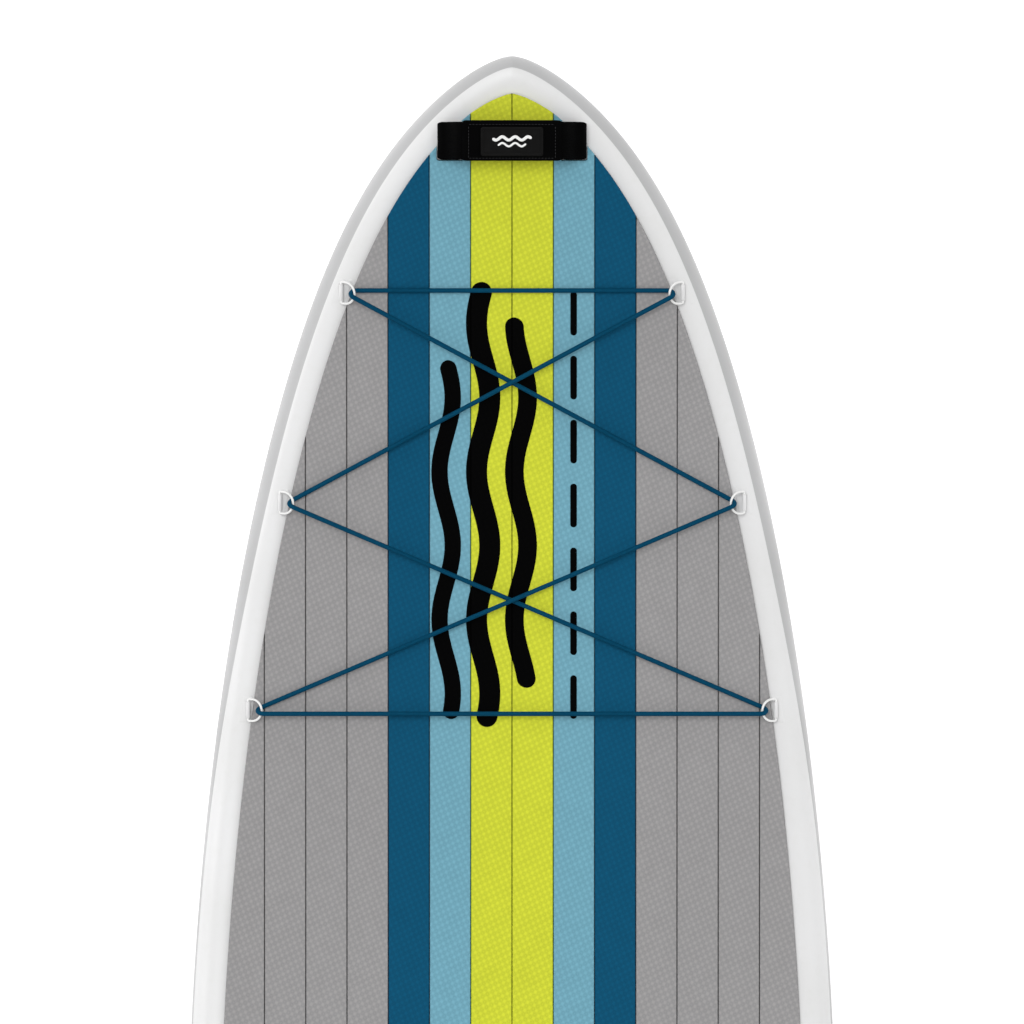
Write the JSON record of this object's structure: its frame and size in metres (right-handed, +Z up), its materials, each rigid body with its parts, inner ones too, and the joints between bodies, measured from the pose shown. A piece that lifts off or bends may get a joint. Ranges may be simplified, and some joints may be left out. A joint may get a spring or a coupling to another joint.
{
  "type": "stand up paddleboard",
  "caption": "Inflatable stand up paddleboard with a striped foam deck pad, bungee lacing on hinged D-rings, carry handles, inflation valve and removable centre fin.",
  "frame": {"origin": "under the middle of the board, level with the tip of the centre fin", "axes": "+Y to the nose, +X to the rider's right, +Z up, square to the flat part of the deck"},
  "size_m": [0.838, 3.25, 0.5952],
  "materials": {
    "white_pvc": "satin coated fabric",
    "light_grey_pvc": "satin coated fabric",
    "base_cloth": "woven base cloth",
    "thread": "drop-stitch thread and cloth",
    "dark_foam": "matte closed-cell foam",
    "yellow_foam": "embossed matte closed-cell foam",
    "light_blue_foam": "embossed matte closed-cell foam",
    "dark_blue_foam": "embossed matte closed-cell foam",
    "grey_foam": "embossed matte closed-cell foam",
    "black_webbing": "woven webbing",
    "black_neoprene": "neoprene sleeve",
    "black_rubber": "moulded",
    "white_nylon": "moulded nylon",
    "blue_cord": "braided shock cord",
    "stainless_steel": "polished wire",
    "white_plastic": "moulded nylon",
    "black_nylon": "moulded nylon"
  },
  "bodies": {
    "hull": {"top_deck_skin": "white_pvc", "bottom_skin": "white_pvc", "front_handle_patch_left": "white_pvc", "front_handle_patch_right": "white_pvc", "centre_handle_patch": "white_pvc", "leash_ring_patch": "white_pvc", "tow_ring_patch": "white_pvc", "d_ring_patch_front_left": "white_pvc", "d_ring_patch_front_right": "white_pvc", "d_ring_patch_middle_left": "white_pvc", "d_ring_patch_middle_right": "white_pvc", "d_ring_patch_rear_left": "white_pvc", "d_ring_patch_rear_right": "white_pvc", "rail_tape": "light_grey_pvc", "side_wall": "base_cloth", "drop_stitch_core": "thread", "deck_pad_base": "dark_foam", "plank_yellow_left": "yellow_foam", "plank_yellow_right": "yellow_foam", "plank_light_blue_left": "light_blue_foam", "plank_light_blue_right": "light_blue_foam", "plank_dark_blue_left": "dark_blue_foam", "plank_dark_blue_right": "dark_blue_foam", "plank_grey_1_left": "grey_foam", "plank_grey_1_right": "grey_foam", "plank_grey_2_left": "grey_foam", "plank_grey_2_right": "grey_foam", "plank_grey_3_left": "grey_foam", "plank_grey_3_right": "grey_foam", "plank_grey_4_left": "grey_foam", "plank_grey_4_right": "grey_foam", "front_handle_strap": "black_webbing", "centre_handle_strap": "black_webbing", "front_handle_sleeve": "black_neoprene", "centre_handle_sleeve": "black_neoprene", "front_handle_badge": "black_rubber", "bungee_cord": "blue_cord", "valve_spring": "stainless_steel", "valve_body": "white_plastic", "valve_nut": "white_plastic", "fin_box": "black_nylon", "side_fin_left": "black_nylon", "side_fin_right": "black_nylon"},
    "ring_front_left": {"d_ring_front_left": "white_nylon"},
    "ring_front_right": {"d_ring_front_right": "white_nylon"},
    "ring_middle_left": {"d_ring_middle_left": "white_nylon"},
    "ring_middle_right": {"d_ring_middle_right": "white_nylon"},
    "ring_rear_left": {"d_ring_rear_left": "white_nylon"},
    "ring_rear_right": {"d_ring_rear_right": "white_nylon"},
    "leash_ring_body": {"leash_ring": "stainless_steel"},
    "tow_ring_body": {"tow_ring": "stainless_steel"},
    "valve_plunger": {"valve_stem": "white_plastic", "valve_seal": "black_rubber"},
    "cap_seal": {"valve_cap_seal": "black_rubber"},
    "cap": {"valve_cap": "white_plastic"},
    "fin": {"centre_fin": "black_nylon", "fin_nut_plate": "stainless_steel"},
    "screw": {"fin_screw": "stainless_steel"}
  },
  "joints": [
    {"name": "d_ring_front_left_hinge", "type": "hinge", "parent": "hull", "child": "ring_front_left", "pos_m": [-0.219, 1.322, 0.50627], "axis": [0, -0.9794, -0.2018], "range_deg": [0, 45], "deforming": ["bungee_cord"]},
    {"name": "d_ring_front_right_hinge", "type": "hinge", "parent": "hull", "child": "ring_front_right", "pos_m": [0.219, 1.322, 0.50627], "axis": [0, 0.9794, 0.2018], "range_deg": [0, 45], "deforming": ["bungee_cord"]},
    {"name": "d_ring_middle_left_hinge", "type": "hinge", "parent": "hull", "child": "ring_middle_left", "pos_m": [-0.298, 1.053, 0.45878], "axis": [0, -0.9893, -0.146], "range_deg": [0, 45], "deforming": ["bungee_cord"]},
    {"name": "d_ring_middle_right_hinge", "type": "hinge", "parent": "hull", "child": "ring_middle_right", "pos_m": [0.298, 1.053, 0.45878], "axis": [0, 0.9893, 0.146], "range_deg": [0, 45], "deforming": ["bungee_cord"]},
    {"name": "d_ring_rear_left_hinge", "type": "hinge", "parent": "hull", "child": "ring_rear_left", "pos_m": [-0.339, 0.7865, 0.42767], "axis": [0, -0.996, -0.0892], "range_deg": [0, 45], "deforming": ["bungee_cord"]},
    {"name": "d_ring_rear_right_hinge", "type": "hinge", "parent": "hull", "child": "ring_rear_right", "pos_m": [0.339, 0.7865, 0.42767], "axis": [0, 0.996, 0.0892], "range_deg": [0, 45], "deforming": ["bungee_cord"]},
    {"name": "leash_ring_hinge", "type": "hinge", "parent": "hull", "child": "leash_ring_body", "pos_m": [0, -1.52436, 0.42742], "axis": [-1, 0, 0], "range_deg": [0, 150]},
    {"name": "tow_ring_hinge", "type": "hinge", "parent": "hull", "child": "tow_ring_body", "pos_m": [0, 1.52651, 0.38897], "axis": [1, 0, 0], "range_deg": [-70, 70]},
    {"name": "valve_plunger_press", "type": "slide", "parent": "hull", "child": "valve_plunger", "axis": [0, -0.068, -0.9977], "range_m": [0, 0.006], "stiffness_N_per_m": 600, "springref_m": -0.004, "deforming": ["valve_spring"]},
    {"name": "valve_cap_lift", "type": "slide", "parent": "hull", "child": "cap_seal", "axis": [0, 0.068, 0.9977], "range_m": [0, 0.05]},
    {"name": "valve_cap_turn", "type": "hinge", "parent": "cap_seal", "child": "cap", "pos_m": [0, -1.405, 0.41094], "axis": [0, 0.068, 0.9977], "range_deg": [0, 90]},
    {"name": "centre_fin_slide", "type": "slide", "parent": "hull", "child": "fin", "axis": [0, 1, 0], "range_m": [-0.028, 0.008]},
    {"name": "fin_screw_turn", "type": "hinge", "parent": "fin", "child": "screw", "pos_m": [0, -0.943, 0.2371], "axis": [0, 0, 1], "continuous": true}
  ]
}
